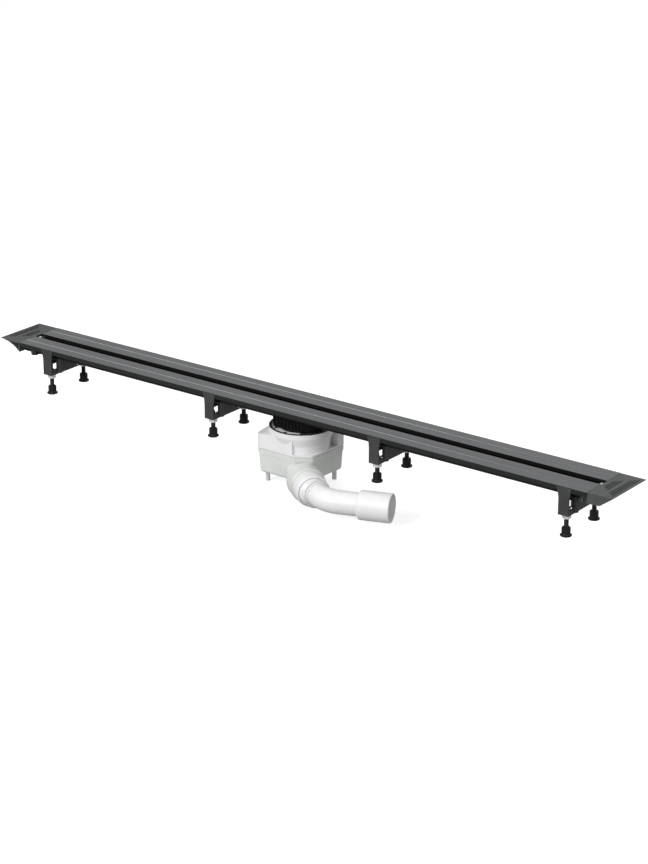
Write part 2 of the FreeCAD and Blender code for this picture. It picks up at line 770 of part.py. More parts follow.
def outlet_collar():
    """The socket on the pot, widening from its root and stepped towards its thread."""
    p = [Base.Vector(r, 0, z) for r, z in (
        (0, socket_start), (socket_root_r, socket_start), (socket_root_r, socket_root_end),
        (socket_r, socket_full_start), (socket_r, socket_end - 1.5), (socket_r - 1.5, socket_end),
        (step_r, socket_end), (step_r, step_end), (thread_r, step_end), (thread_r, thread_end), (0, thread_end))]
    swell = Base.Vector(socket_root_r + (socket_r - socket_root_r) * 0.7, 0,
                        socket_root_end + (socket_full_start - socket_root_end) * 0.4)
    edges = [Part.LineSegment(p[i], p[i + 1]).toShape() for i in (0, 1)]
    edges.append(Part.Arc(p[2], swell, p[3]).toShape())
    edges += [Part.LineSegment(p[i], p[i + 1]).toShape() for i in range(3, 10)]
    edges.append(Part.LineSegment(p[10], p[0]).toShape())
    return to_outlet(Part.Face(Part.Wire(edges)).revolve(zero, up, 360))


def ball_space():
    """Round space in which the ball turns."""
    return Part.makeSphere(ball_r + ball_play, Base.Vector(0, 0, ball_distance))


def outlet_bore():
    bore = turned([(0, socket_start - 4.0), (socket_bore_r, socket_start - 4.0), (socket_bore_r, seat_start),
                   (socket_inner_r, seat_start), (socket_inner_r, thread_end + 5.0), (0, thread_end + 5.0)])
    kept_floor = rod(socket_start + 3.0, 0.0, drop(pot_bottom_drop) + trap_wall)
    return to_outlet(bore.fuse(ball_space())).cut(kept_floor)


def cover_seal():
    """Flat gasket in the seam, open in the middle."""
    seam = drop(seam_drop)
    plate = trap_block(seam_flange - cover_seal_inset, seam - cover_seal_t, seam)
    return plate.cut(trap_block(-trap_wall, seam - 5.0, seam + 5.0))


def neck_seal():
    """Rubber rim on the neck's upper edge."""
    z = drop(neck_top_drop)
    outer = neck_rim_r + 0.4
    inner = neck_rim_r - neck_rim_t - 0.2
    return turned([(inner, z), (outer, z), (outer, z + neck_seal_t - 0.4), (outer - 0.4, z + neck_seal_t),
                   (inner + 0.4, z + neck_seal_t), (inner, z + neck_seal_t - 0.4)])


def neck_screws():
    """Ring of small screw heads on the neck's ledge."""
    z = drop(neck_ledge_drop)
    radius = (neck_bore_r + neck_rim_r - neck_rim_t) / 2.0 + 1.0
    heads = []
    for i in range(neck_screw_count):
        angle = math.radians((i + 0.5) * 360.0 / neck_screw_count)
        head = rod(neck_screw_r, z, z + 1.6).cut(hexagon(1.8, z + 0.7, z + 3.0))
        heads.append(moved(head, radius * math.cos(angle), radius * math.sin(angle)))
    return Part.makeCompound(heads)


def dip_tube():
    """Tube under the inlet, held by its flange on the cover's step."""
    seat = drop(neck_step_drop)
    bottom = drop(dip_tube_bottom_drop)
    inner = dip_tube_r - dip_tube_t
    dip_flange_r = neck_bore_r - dip_flange_gap
    return turned([
        (inner, bottom), (dip_tube_r, bottom), (dip_tube_r, seat - 3.0), (neck_step_r - 1.0, seat),
        (dip_flange_r, seat), (dip_flange_r, seat + dip_flange_t), (neck_step_r - 3.0, seat + dip_flange_t),
        (inner, seat - 1.5),
    ])


def seal_cup():
    """Cup on the pot's floor; water stands in it up to the tube."""
    floor = drop(pot_bottom_drop) + trap_wall
    rim = drop(cup_rim_drop)
    foot = cup_r - cup_foot_in
    return turned([
        (0, floor), (foot, floor), (cup_r, floor + cup_foot_in), (cup_r, rim), (cup_r - cup_t, rim),
        (cup_r - cup_t, floor + cup_foot_in + 1.0), (foot - 1.0, floor + cup_t), (0, floor + cup_t),
    ])


# ---------------------------------------------------------------- outlet

def ball_centre():
    a = math.radians(outlet_heading)
    x = ball_distance * math.cos(a) - outlet_aside * math.sin(a)
    y = ball_distance * math.sin(a) + outlet_aside * math.cos(a)
    return Base.Vector(x, y, drop(outlet_drop))


def to_swivel(shape):
    """Move a shape turned about Z to the ball piece's axis: its height becomes the distance from the ball."""
    copy = shape.copy()
    copy.rotate(zero, across, 90)
    copy.rotate(zero, up, swivel_heading)
    copy.translate(ball_centre())
    return copy


def outlet_nut():
    """Union nut, round outside and in; its spherical inside holds the ball."""
    inner_r = ball_r + ball_play
    outer_r = inner_r + nut_wall
    reach = 2.0 * ball_r
    opening = reach * math.tan(math.radians(nut_opening_angle))
    barrel = rod(outer_r, nut_back, ball_distance)
    front = Part.makeSphere(outer_r, Base.Vector(0, 0, ball_distance))
    front = front.common(rod(outer_r + 1.0, ball_distance - 1.0, ball_distance + outer_r))
    thread = rod(thread_r + fit_gap, nut_back - 1.0, thread_end + 4.0)
    room = rod(inner_r, thread_end - 1.0, ball_distance)
    mouth = Part.makeCone(0.0, opening, reach, Base.Vector(0, 0, ball_distance))
    return to_outlet(barrel.fuse(front).removeSplitter().cut([thread, room, ball_space(), mouth]))


def ball_seat():
    """Seat ring in the socket's end, behind the ball."""
    ring = rod(socket_inner_r - seal_gap, seat_start, seat_end)
    return to_outlet(ring.cut([rod(seat_inner_r, seat_start - 1, seat_end + 1), ball_space()]))


def outlet_ball():
    """Ball with a neck and a hub, hollowed at the back so that it slides over the nut."""
    ball = Part.makeSphere(ball_r).common(rod(ball_r, -ball_rear, ball_r))
    hub = turned([
        (0, 0), (hub_r, 0), (hub_r, hub_lip_end - hub_lip_t), (hub_lip_r, hub_lip_end - hub_lip_t + 0.5),
        (hub_lip_r, hub_lip_end), (hub_end_r, hub_lip_end), (hub_end_r, hub_end), (0, hub_end),
    ])
    hub = hub.cut(Part.makeSphere(ball_r + ball_play + nut_wall + hub_play))
    stem = rod(ball_neck_r, 0.0, hub_end)
    bore_r = nose_r + pipe_play
    rear = math.sqrt(ball_r ** 2 - ball_rear ** 2) - 3.0
    bore = turned([
        (0, -ball_rear - 1.0), (rear, -ball_rear - 1.0), (bore_r, nose_start - 2.0), (bore_r, ball_r + 1.0),
        (0, ball_r + 1.0),
    ])
    ring_room = rod(bore_r + ring_h, ring_start, ring_start + ring_w)
    return to_swivel(fuse([ball, hub, stem]).cut([bore, ring_room]))


def elbow_seal():
    """Ring seal in the ball's groove, round the elbow's nose."""
    bore_r = nose_r + pipe_play
    ring = rod(bore_r + ring_h - seal_gap, ring_start + 0.1, ring_start + ring_w - 0.1)
    return to_swivel(ring.cut(rod(bore_r, ring_start - 1.0, ring_start + ring_w + 1.0)))


def elbow_path(start, end):
    """Centre line of the elbow in the plane of the bend, from the hub to the pipe's end."""
    tangent = elbow_r * math.tan(math.radians(elbow_angle / 2.0))
    a0 = math.radians(swivel_heading)
    a1 = math.radians(swivel_heading + elbow_angle)
    first = Base.Vector(math.cos(a0), math.sin(a0), 0)
    second = Base.Vector(math.cos(a1), math.sin(a1), 0)
    vertex = ball_centre() + first * elbow_vertex
    bend_in = vertex - first * tangent
    bend_out = vertex + second * tangent
    bisector = second - first
    bisector.normalize()
    gap = elbow_r / math.cos(math.radians(elbow_angle / 2.0)) - elbow_r
    edges = [
        Part.LineSegment(ball_centre() + first * start, bend_in).toShape(),
        Part.Arc(bend_in, vertex + bisector * gap, bend_out).toShape(),
        Part.LineSegment(bend_out, vertex + second * end).toShape(),
    ]
    return Part.Wire(edges), first, second, vertex


def swept_pipe(radius, start, end):
    wire, first, _, _ = elbow_path(start, end)
    circle = Part.Wire(Part.makeCircle(radius, ball_centre() + first * start, first))
    return wire.makePipeShell([circle], True, False)


def outlet_elbow():
    """The bent pipe, with a shoulder against the hub and a nose inside the ball."""
    start = hub_end + ball_play
    outside = swept_pipe(pipe_r, start, pipe_end)
    inside = swept_pipe(pipe_r - pipe_t, start, pipe_end)
    shoulder = rod(pipe_r, start, start + nose_shoulder_t)
    nose = rod(nose_r, nose_start, start + nose_shoulder_t)
    bore = rod(nose_r - nose_t, nose_start - 1.0, start + nose_shoulder_t + 1.0)
    return outside.cut(inside).fuse([to_swivel(shoulder), to_swivel(nose)]).cut(to_swivel(bore)).removeSplitter()


def outlet_spigot():
    """Adapter on the pipe's end: a stepped sleeve with a bevelled mouth."""
    _, _, second, vertex = elbow_path(hub_end + ball_play, pipe_end)
    bore = spigot_r - spigot_t
    sleeve = turned([
        (pipe_r + seal_gap, spigot_start), (spigot_r - 2.0, spigot_start), (spigot_r, spigot_start + 2.6),
        (spigot_r, spigot_end - 1.0), (spigot_r - 0.7, spigot_end), (bore, spigot_end),
        (bore, spigot_start + spigot_grip), (pipe_r + seal_gap, spigot_start + spigot_grip),
    ])
    angle = swivel_heading + elbow_angle
    sleeve.rotate(zero, across, 90)
    sleeve.rotate(zero, up, angle)
    sleeve.translate(vertex)
    return sleeve


# ---------------------------------------------------------------- output

def all_parts():
    parts = {"channel_profile": channel_profile()}
    cap = end_cap()
    screw = cap_screw()
    for name, side in (("left", -1), ("right", 1)):
        parts["end_cap_" + name] = place_at_end(cap, side)
        parts["cap_screw_" + name] = place_at_end(screw, side)
        parts["end_clip_" + name] = end_clip(side)
    bracket = foot_bracket()
    nut = lock_nut()
    captive = captive_nut()
    captives = []
    for number, x, foot_drop in bracket_places():
        parts["bracket_%d" % number] = moved(bracket, x, 0)
        sole = drop(foot_drop)
        for side, y in (("front", -foot_y), ("rear", foot_y)):
            key = "%d_%s" % (number, side)
            parts["pad_" + key] = moved(pad(sole), x, y)
            parts["stud_" + key] = moved(stud(sole), x, y)
            parts["lock_nut_" + key] = moved(nut, x, y)
            captives.append(moved(captive, x, y))
    parts["captive_nuts"] = Part.makeCompound(captives)
    parts.update({
        "inlet_dish": inlet_dish(),
        "inlet_seal": inlet_seal(),
        "neck_seal": neck_seal(),
        "neck_screws": neck_screws(),
        "trap_cover": trap_cover(),
        "trap_pot": trap_pot(),
        "cover_seal": cover_seal(),
        "dip_tube": dip_tube(),
        "seal_cup": seal_cup(),
        "outlet_nut": outlet_nut(),
        "ball_seat": ball_seat(),
        "outlet_ball": outlet_ball(),
        "elbow_seal": elbow_seal(),
        "outlet_elbow": outlet_elbow(),
        "outlet_spigot": outlet_spigot(),
    })
    return parts


def main():
    os.makedirs("parts", exist_ok=True)
    for name, shape in all_parts().items():
        shape.exportStep("parts/" + name + ".step")
        print(name, len(shape.Solids), shape.isValid(), round(shape.Volume / 1000.0, 2))


main()
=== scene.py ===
import bpy
import bmesh
import json
import math
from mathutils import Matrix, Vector


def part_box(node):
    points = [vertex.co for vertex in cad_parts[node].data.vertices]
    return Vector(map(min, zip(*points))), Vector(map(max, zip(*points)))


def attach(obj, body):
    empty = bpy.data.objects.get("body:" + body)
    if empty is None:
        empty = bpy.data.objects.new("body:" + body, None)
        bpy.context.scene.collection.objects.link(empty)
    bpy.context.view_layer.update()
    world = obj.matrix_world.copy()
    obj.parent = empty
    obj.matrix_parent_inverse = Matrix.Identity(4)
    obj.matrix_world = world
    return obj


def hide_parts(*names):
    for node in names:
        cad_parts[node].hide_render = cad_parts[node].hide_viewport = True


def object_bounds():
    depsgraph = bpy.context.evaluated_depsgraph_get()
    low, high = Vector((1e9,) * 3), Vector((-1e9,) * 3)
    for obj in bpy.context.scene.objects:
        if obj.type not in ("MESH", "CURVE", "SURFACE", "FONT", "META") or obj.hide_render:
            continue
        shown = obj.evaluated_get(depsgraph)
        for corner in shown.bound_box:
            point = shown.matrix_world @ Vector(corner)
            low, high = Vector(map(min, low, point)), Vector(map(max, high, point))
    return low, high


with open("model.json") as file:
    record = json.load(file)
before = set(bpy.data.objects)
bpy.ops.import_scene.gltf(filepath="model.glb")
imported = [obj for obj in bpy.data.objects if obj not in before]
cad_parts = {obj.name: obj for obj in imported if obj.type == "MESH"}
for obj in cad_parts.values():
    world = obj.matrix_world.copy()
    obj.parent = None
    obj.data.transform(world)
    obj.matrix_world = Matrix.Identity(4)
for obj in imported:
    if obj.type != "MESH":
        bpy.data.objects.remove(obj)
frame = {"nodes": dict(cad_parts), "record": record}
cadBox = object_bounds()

nodes = frame["nodes"]
record = frame["record"]
slotOf = {entry["node"]: entry["material_slot"] for entry in record["subparts"]}
mm = 0.001
flangeTop = cadBox[1][2]
midTones = (0.3, 0.7)  # where most of a noise's values lie


def newMaterial(name, roughness, metallic=0.0):
    material = bpy.data.materials.new(name)
    material.use_nodes = True
    tree = material.node_tree
    shader = tree.nodes["Principled BSDF"]
    shader.inputs["Roughness"].default_value = roughness
    shader.inputs["Metallic"].default_value = metallic
    return material, tree, shader


def addNode(tree, kind, **values):
    node = tree.nodes.new(kind)
    for key, value in values.items():
        setattr(node, key, value)
    return node


def objectPlace(tree, scale=(1, 1, 1)):  # object coordinates, stretched on each axis
    place = addNode(tree, "ShaderNodeTexCoord")
    mapping = addNode(tree, "ShaderNodeMapping")
    mapping.inputs["Scale"].default_value = scale
    tree.links.new(place.outputs["Object"], mapping.inputs["Vector"])
    return mapping.outputs["Vector"]


def splitVector(tree, vector):
    parts = addNode(tree, "ShaderNodeSeparateXYZ")
    tree.links.new(vector, parts.inputs[0])
    return parts.outputs


def noise(tree, place, scale, detail=3.0, roughness=0.5):
    node = addNode(tree, "ShaderNodeTexNoise")
    node.inputs["Scale"].default_value = scale
    node.inputs["Detail"].default_value = detail
    node.inputs["Roughness"].default_value = roughness
    tree.links.new(place, node.inputs["Vector"])
    return node.outputs["Fac"]


def ramp(tree, value, low, high, start=0.0, end=1.0):
    node = addNode(tree, "ShaderNodeMapRange")
    node.inputs["From Min"].default_value = start
    node.inputs["From Max"].default_value = end
    node.inputs["To Min"].default_value = low
    node.inputs["To Max"].default_value = high
    tree.links.new(value, node.inputs["Value"])
    return node.outputs["Result"]


def calc(tree, operation, first, second=0.0):
    node = addNode(tree, "ShaderNodeMath", operation=operation)
    for socket, value in zip(node.inputs, (first, second)):
        if isinstance(value, float):
            socket.default_value = value
        else:
            tree.links.new(value, socket)
    return node.outputs[0]


def blendColour(tree, factor, first, second, kind="MIX"):
    node = addNode(tree, "ShaderNodeMix", data_type="RGBA", blend_type=kind)
    for socket, value in ((node.inputs[6], first), (node.inputs[7], second)):
        if isinstance(value, tuple):
            socket.default_value = (*value, 1.0)
        else:
            tree.links.new(value, socket)
    if isinstance(factor, float):
        node.inputs[0].default_value = factor
    else:
        tree.links.new(factor, node.inputs[0])
    return node.outputs[2]


def bump(tree, shader, height, strength, distance, before=None):
    node = addNode(tree, "ShaderNodeBump")
    node.inputs["Strength"].default_value = strength
    node.inputs["Distance"].default_value = distance
    tree.links.new(height, node.inputs["Height"])
    if before is not None:
        tree.links.new(before, node.inputs["Normal"])
    tree.links.new(node.outputs["Normal"], shader.inputs["Normal"])
    return node.outputs["Normal"]


edgeRub = {"width": 0.5 * mm, "strength": 0.6, "from": 0.8, "to": 0.99}


def edgeWear(tree, colour, brighter):  # paler where edges are rubbed
    rounded = addNode(tree, "ShaderNodeBevel", samples=4)
    rounded.inputs["Radius"].default_value = edgeRub["width"]
    flat = addNode(tree, "ShaderNodeNewGeometry")
    meet = addNode(tree, "ShaderNodeVectorMath", operation="DOT_PRODUCT")
    tree.links.new(rounded.outputs["Normal"], meet.inputs[0])
    tree.links.new(flat.outputs["Normal"], meet.inputs[1])
    rubbed = edgeRub["strength"]
    edge = ramp(tree, meet.outputs["Value"], rubbed, 0.0, edgeRub["from"], edgeRub["to"])
    return blendColour(tree, edge, colour, brighter)


# Reach and levels of the painted shade in recesses and joints.
paintedRecessShade = {"reach": 3.0 * mm, "from": 0.68, "to": 0.97}


def hollowShade(tree, colour, darker):  # painted shade in recesses and joints, darker where ambient occlusion finds nearby surfaces
    hollow = addNode(tree, "ShaderNodeAmbientOcclusion", samples=6)
    hollow.inputs["Distance"].default_value = paintedRecessShade["reach"]
    lighterShare = ramp(tree, hollow.outputs["AO"], 0.0, 1.0, paintedRecessShade["from"], paintedRecessShade["to"])
    return blendColour(tree, lighterShare, darker, colour)


# Painted shade on the level floors of the caps' shallow pockets, between two depths under the
# upper face.
capPockets = {"upper": flangeTop - 0.45 * mm, "lower": flangeTop - 1.4 * mm, "level": 0.97}


def pocketShade(tree, colour, darker, pockets):
    place = addNode(tree, "ShaderNodeTexCoord")
    height = splitVector(tree, place.outputs["Object"])[2]
    facing = splitVector(tree, place.outputs["Normal"])[2]
    under = calc(tree, "LESS_THAN", height, pockets["upper"])
    over = calc(tree, "GREATER_THAN", height, pockets["lower"])
    level = calc(tree, "GREATER_THAN", facing, pockets["level"])
    floors = calc(tree, "MULTIPLY", calc(tree, "MULTIPLY", under, over), level)
    return blendColour(tree, floors, colour, darker)


plasticBase = {
    "cloudSize": 34.0, "glossSize": 120.0, "glossLow": -0.07, "glossHigh": 0.09,
    "cloudBump": 0.12, "cloudDepth": 1.2 * mm, "grainDepth": 0.2 * mm, "coatRoughness": 0.3,
}


# Moulded plastic: soft cloudy tone, fine grain and uneven gloss.
def mouldedPlastic(name, look):
    roughness = look["roughness"]
    material, tree, shader = newMaterial(name, roughness)
    shader.inputs["Specular IOR Level"].default_value = look.get("shine", 0.5)
    place = objectPlace(tree)
    cloud = noise(tree, place, plasticBase["cloudSize"], detail=4.0, roughness=0.6)
    tone = blendColour(tree, ramp(tree, cloud, 0.0, 1.0, *midTones), look["dark"], look["light"])
    if "wear" in look:
        tone = edgeWear(tree, tone, look["wear"])
    # Painted shade where the look gives a shade colour: darker in recesses and joints, near black
    # on the pockets' level floors.
    if "paintedShade" in look:
        tone = hollowShade(tree, tone, look["paintedShade"])
    if "pockets" in look:
        tone = pocketShade(tree, tone, look["paintedShade"], look["pockets"])
    tree.links.new(tone, shader.inputs["Base Color"])
    gloss = noise(tree, place, plasticBase["glossSize"], detail=3.0)
    low, high = roughness + plasticBase["glossLow"], roughness + plasticBase["glossHigh"]
    tree.links.new(ramp(tree, gloss, low, high, *midTones), shader.inputs["Roughness"])
    soft = bump(tree, shader, cloud, plasticBase["cloudBump"], plasticBase["cloudDepth"])
    fine = noise(tree, place, look["grainSize"], detail=2.0, roughness=0.6)
    bump(tree, shader, fine, look["grain"], plasticBase["grainDepth"], soft)
    shader.inputs["Coat Weight"].default_value = look.get("coat", 0.0)
    shader.inputs["Coat Roughness"].default_value = plasticBase["coatRoughness"]
    return material


profileLook = {
    "roughness": 0.46, "satin": (0.4, 0.56), "shine": 0.2,
    "dark": (0.105, 0.107, 0.109), "light": (0.16, 0.163, 0.166),
    "streakStretch": (1.2, 420.0, 420.0), "streakBump": 0.25, "streakDepth": 0.2 * mm,
    "cloudSize": 9.0, "cloudDark": (0.88, 0.88, 0.9), "cloudLight": (1.0, 1.0, 1.0),
    "ribPitch": 2.4 * mm, "ribShade": (0.075, 0.08, 0.078), "ribStrength": 0.35,
    "ribSpan": (-0.2, 1.0), "lineFade": (0.2, 0.48), "lineRest": 0.25,
    "lineY": 31.5 * mm, "line": (0.42, 0.43, 0.43), "lineCore": 0.6 * mm, "lineEdge": 1.0 * mm,
    "slotY": 9.3 * mm, "gutterY": 36.45 * mm, "topZ": flangeTop - 0.6 * mm,
    # The edge and inside colours are painted shade, for faces under the upper face and for the
    # slot and gutter.
    "edge": (0.018, 0.019, 0.019), "inside": (0.002, 0.002, 0.0022), "insideMatt": 0.45,
    "grainSize": 1500.0, "grainBump": 0.15, "grainDepth": 0.15 * mm,
}


# Extruded profile: drawn streaks along it, a line on each flange, and painted shade: dark on
# every face under the upper face, near black in the slot and inside the gutter.
def extrudedProfile(name, look):
    material, tree, shader = newMaterial(name, look["roughness"])
    shader.inputs["Specular IOR Level"].default_value = look["shine"]
    place = objectPlace(tree)
    along = objectPlace(tree, look["streakStretch"])
    streak = noise(tree, along, 1.0, detail=3.0, roughness=0.6)
    cloud = noise(tree, place, look["cloudSize"], detail=3.0, roughness=0.55)
    tone = blendColour(tree, ramp(tree, streak, 0.0, 1.0, *midTones), look["dark"], look["light"])
    cloudy = ramp(tree, cloud, 0.0, 1.0, *midTones)
    shade = blendColour(tree, cloudy, look["cloudDark"], look["cloudLight"])
    tone = blendColour(tree, 1.0, tone, shade, "MULTIPLY")

    lengthwise, sideways, height = splitVector(tree, place)
    side = calc(tree, "ABSOLUTE", sideways)
    ribs = calc(tree, "SINE", calc(tree, "MULTIPLY", side, 2.0 * math.pi / look["ribPitch"]))
    ribs = ramp(tree, ribs, 0.0, look["ribStrength"], *look["ribSpan"])
    tone = blendColour(tree, ribs, tone, look["ribShade"])
    # A paler line on each flange, fading out along the length.
    away = calc(tree, "ABSOLUTE", calc(tree, "SUBTRACT", side, look["lineY"]))
    fadeAlong = ramp(tree, lengthwise, 1.0, look["lineRest"], *look["lineFade"])
    mark = ramp(tree, away, 1.0, 0.0, look["lineCore"], look["lineEdge"])
    tone = blendColour(tree, calc(tree, "MULTIPLY", mark, fadeAlong), tone, look["line"])

    # Painted shade: faces under the upper face take the dark edge colour, and the slot and the
    # gutter's inside take the near-black inside colour.
    top = calc(tree, "GREATER_THAN", height, look["topZ"])
    tone = blendColour(tree, top, look["edge"], tone)
    flange = calc(tree, "MULTIPLY", calc(tree, "GREATER_THAN", side, look["slotY"]), top)
    lit = calc(tree, "MAXIMUM", flange, calc(tree, "GREATER_THAN", side, look["gutterY"]))
    tone = blendColour(tree, lit, look["inside"], tone)
    tree.links.new(tone, shader.inputs["Base Color"])

    satin = ramp(tree, streak, *look["satin"], *midTones)
    below = calc(tree, "SUBTRACT", 1.0, calc(tree, "MULTIPLY", lit, top))
    matt = calc(tree, "MULTIPLY", below, look["insideMatt"])
    tree.links.new(calc(tree, "ADD", satin, matt), shader.inputs["Roughness"])
    soft = bump(tree, shader, streak, look["streakBump"], look["streakDepth"])
    grain = noise(tree, place, look["grainSize"], detail=2.0)
    bump(tree, shader, grain, look["grainBump"], look["grainDepth"], soft)
    return material


metalBase = {
    "turnStretch": (300.0, 300.0, 5200.0), "patchSize": 260.0, "patchSpan": (0.35, 0.65),
    "darker": 0.74, "dull": 0.12, "bright": -0.06, "bump": 0.2, "depth": 0.1 * mm,
}


# Plated or stainless steel with fine turning marks and dull patches.
def turnedMetal(name, look):
    roughness = look["roughness"]
    material, tree, shader = newMaterial(name, roughness, look["metallic"])
    marks = noise(tree, objectPlace(tree, metalBase["turnStretch"]), 1.0, detail=2.0)
    patch = noise(tree, objectPlace(tree), metalBase["patchSize"], detail=4.0, roughness=0.6)
    darker = tuple(c * metalBase["darker"] for c in look["colour"])
    lighterShare = ramp(tree, patch, 0.0, 1.0, *metalBase["patchSpan"])
    tone = blendColour(tree, lighterShare, darker, look["colour"])
    tree.links.new(tone, shader.inputs["Base Color"])
    dull, bright = roughness + metalBase["dull"], roughness + metalBase["bright"]
    tree.links.new(ramp(tree, patch, dull, bright, *midTones), shader.inputs["Roughness"])
    bump(tree, shader, marks, metalBase["bump"], metalBase["depth"])
    return material


rubberBase = {
    "roughness": 0.62, "dusty": (0.5, 0.78), "shine": 0.25, "dustSize": 180.0,
    "dustSpan": (0.4, 0.75), "grainSize": 2600.0, "bump": 0.3, "depth": 0.2 * mm,
}


# Rubber: matt, with a little dust on a fine grain.
def darkRubber(name, look):
    material, tree, shader = newMaterial(name, rubberBase["roughness"])
    shader.inputs["Specular IOR Level"].default_value = rubberBase["shine"]
    place = objectPlace(tree)
    dust = noise(tree, place, rubberBase["dustSize"], detail=5.0, roughness=0.65)
    dusted = ramp(tree, dust, 0.0, 1.0, *rubberBase["dustSpan"])
    tone = blendColour(tree, dusted, look["dark"], look["light"])
    tree.links.new(tone, shader.inputs["Base Color"])
    gloss = ramp(tree, dust, *rubberBase["dusty"], *midTones)
    tree.links.new(gloss, shader.inputs["Roughness"])
    grain = noise(tree, place, rubberBase["grainSize"], detail=2.0)
    bump(tree, shader, grain, rubberBase["bump"], rubberBase["depth"])
    return material


# The caps' near-black (0.005) colour is painted shade, for recesses, joints and pocket floors.
capLook = {
    "dark": (0.05, 0.053, 0.053), "light": (0.072, 0.076, 0.076), "roughness": 0.5,
    "grain": 0.35, "grainSize": 2400.0, "wear": (0.11, 0.115, 0.115),
    "paintedShade": (0.005, 0.005, 0.005), "pockets": capPockets,
}
bracketLook = {
    "dark": (0.026, 0.028, 0.027), "light": (0.041, 0.044, 0.042), "roughness": 0.5,
    "grain": 0.4, "grainSize": 2000.0, "wear": (0.085, 0.09, 0.085),
}
inletLook = {
    "dark": (0.0025, 0.0025, 0.003), "light": (0.005, 0.005, 0.0055), "roughness": 0.5,
    "grain": 0.3, "grainSize": 1800.0, "wear": (0.012, 0.012, 0.013), "shine": 0.15,
}
outletLook = {
    "dark": (0.72, 0.72, 0.73), "light": (0.78, 0.78, 0.79), "roughness": 0.36,
    "grain": 0.12, "grainSize": 1500.0, "coat": 0.15,
}
potLook = {
    "dark": (0.6, 0.62, 0.595), "light": (0.67, 0.69, 0.665), "roughness": 0.4,
    "grain": 0.14, "grainSize": 1500.0, "coat": 0.1,
}
capScrewLook = {"colour": (0.8, 0.8, 0.78), "roughness": 0.24, "metallic": 1.0}
nutLook = {"colour": (0.82, 0.83, 0.82), "roughness": 0.34, "metallic": 0.35}
studLook = {"colour": (0.035, 0.035, 0.037), "roughness": 0.42, "metallic": 0.6}
neckScrewLook = {"colour": (0.05, 0.05, 0.052), "roughness": 0.4, "metallic": 0.7}
padLook = {"dark": (0.006, 0.006, 0.0065), "light": (0.014, 0.014, 0.015)}
sealLook = {"dark": (0.014, 0.014, 0.015), "light": (0.028, 0.028, 0.029)}

finishes = {
    "profile_grey": extrudedProfile("profileGrey", profileLook),
    "cap_grey": mouldedPlastic("capGrey", capLook),
    "bracket_grey": mouldedPlastic("bracketGrey", bracketLook),
    "stainless": turnedMetal("stainless", capScrewLook),
    "zinc": turnedMetal("zincPlate", nutLook),
    "dark_stud": turnedMetal("darkStud", studLook),
    "pad_rubber": darkRubber("padRubber", padLook),
    "inlet_black": mouldedPlastic("inletBlack", inletLook),
    "seal_rubber": darkRubber("sealRubber", sealLook),
    "dark_screw": turnedMetal("darkScrew", neckScrewLook),
    "white_plastic": mouldedPlastic("whitePlastic", outletLook),
    "pot_plastic": mouldedPlastic("potPlastic", potLook),
}
print("finishes made:", len(finishes))

softEdge = {"width": 0.25 * mm, "segments": 2, "angle": 38.0}


def dressNodes():
    for name, item in nodes.items():
        item.data.materials.clear()
        item.data.materials.append(finishes[slotOf[name]])
        bevel = item.modifiers.new("edge", "BEVEL")
        bevel.width = softEdge["width"]
        bevel.segments = softEdge["segments"]
        bevel.limit_method = "ANGLE"
        bevel.angle_limit = math.radians(softEdge["angle"])
        bevel.use_clamp_overlap = True


dressNodes()
print("dressed", len(nodes), "nodes")


# Closed rings of points, joined into a skin of four-sided faces.
def joinRings(shape, low, high):
    count = len(low)
    for k in range(count):
        after = (k + 1) % count
        shape.faces.new((low[k], low[after], high[after], high[k]))


def meshFrom(shape, name):
    mesh = bpy.data.meshes.new(name)
    shape.to_mesh(mesh)
    shape.free()
    return mesh


def addPiece(name, mesh):
    piece = bpy.data.objects.new(name, mesh)
    bpy.context.scene.collection.objects.link(piece)
    return piece


thread = {
    "pitch": 1.25 * mm, "depth": 0.62 * mm, "flank": 2.6, "root": 0.2, "chamfer": 0.8 * mm,
    "sides": 28, "steps": 6, "slot": 1.2 * mm, "slotLength": 12.0 * mm, "slotDepth": 2.0 * mm,
}


def threadRadius(outer, height, angle, length):
    turn = (height / thread["pitch"] - angle / (2 * math.pi)) % 1.0
    profile = abs(turn - 0.5) * thread["flank"] - thread["root"]
    depth = thread["depth"] * min(1.0, max(0.0, profile))
    chamfer = max(0.0, height - (length - thread["chamfer"]))
    return min(outer - depth, outer - chamfer)


# A stud with a rolled thread, before its upper end is slotted.
def threadedRod(outer, length):
    shape = bmesh.new()
    count = int(length / thread["pitch"] * thread["steps"])
    rings = []
    for k in range(count + 1):
        height = length * k / count
        ring = []
        for s in range(thread["sides"]):
            angle = 2 * math.pi * s / thread["sides"]
            r = threadRadius(outer, height, angle, length)
            ring.append(shape.verts.new((r * math.cos(angle), r * math.sin(angle), height)))
        rings.append(ring)
    for low, high in zip(rings, rings[1:]):
        joinRings(shape, low, high)
    shape.faces.new(list(reversed(rings[0])))
    shape.faces.new(rings[-1])
    return meshFrom(shape, "stud")


def slotBlade(length):  # the block that the screwdriver slot leaves empty
    shape = bmesh.new()
    bmesh.ops.create_cube(shape, size=1.0)
    for vert in shape.verts:
        vert.co = Vector((vert.co.x * thread["slotLength"], vert.co.y * thread["slot"],
                          length + vert.co.z * 2 * thread["slotDepth"]))
    return meshFrom(shape, "slotTool")


def cutSlot(mesh, length):
    body = bpy.data.objects.new("slotBody", mesh)
    tool = bpy.data.objects.new("slotTool", slotBlade(length))
    for item in (body, tool):
        bpy.context.scene.collection.objects.link(item)
    cut = body.modifiers.new("slot", "BOOLEAN")
    cut.operation = "DIFFERENCE"
    cut.solver = "EXACT"
    cut.object = tool
    graph = bpy.context.evaluated_depsgraph_get()
    result = bpy.data.meshes.new_from_object(body.evaluated_get(graph))
    for item in (body, tool):
        bpy.data.objects.remove(item)
    return result


